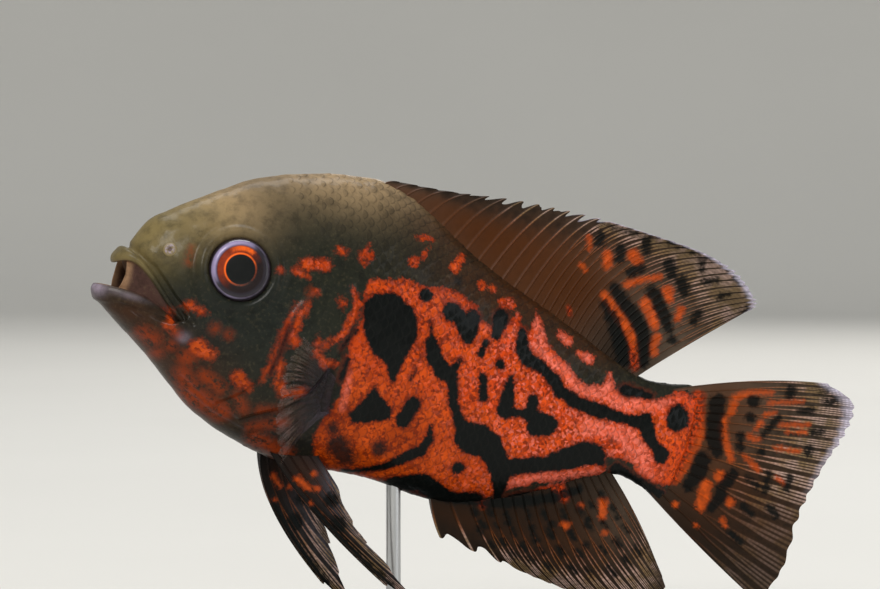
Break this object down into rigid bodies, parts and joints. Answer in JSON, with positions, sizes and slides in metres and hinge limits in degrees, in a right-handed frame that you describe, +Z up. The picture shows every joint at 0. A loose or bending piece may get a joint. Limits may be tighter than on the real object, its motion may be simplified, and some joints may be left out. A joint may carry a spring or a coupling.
{
  "type": "fish",
  "caption": "Life-size still model of a deep-bodied cichlid fish swimming nose-up with fins spread, on a rod above a flat oval base.",
  "frame": {"origin": "centre of the stand base's underside, straight below the rod", "axes": "-X towards the fish's head, -Y out of its left flank, +Z up"},
  "size_m": [0.209, 0.1077, 0.1374],
  "materials": {
    "skin": "wet scaled skin, dark olive with an orange network and black blotches",
    "eye": "clear and wet, black pupil in an orange and dark red iris",
    "fin": "thin dark membrane with darker rays and orange dashes",
    "clear_fin": "thin grey membrane, nearly clear between its rays",
    "stand_base": "satin black",
    "stand_rod": "brushed"
  },
  "bodies": {
    "root": {"head": "skin", "lower_jaw": "skin", "gill_cover_left": "skin", "gill_cover_right": "skin", "trunk": "skin", "tail_stem": "skin", "eye_left": "eye", "eye_right": "eye", "dorsal_fin": "fin", "anal_fin": "fin", "tail_fin": "fin", "pelvic_fin_left": "fin", "pelvic_fin_right": "fin", "pectoral_fin_left": "clear_fin", "pectoral_fin_right": "clear_fin", "stand_base": "stand_base", "stand_rod": "stand_rod"}
  },
  "joints": []
}
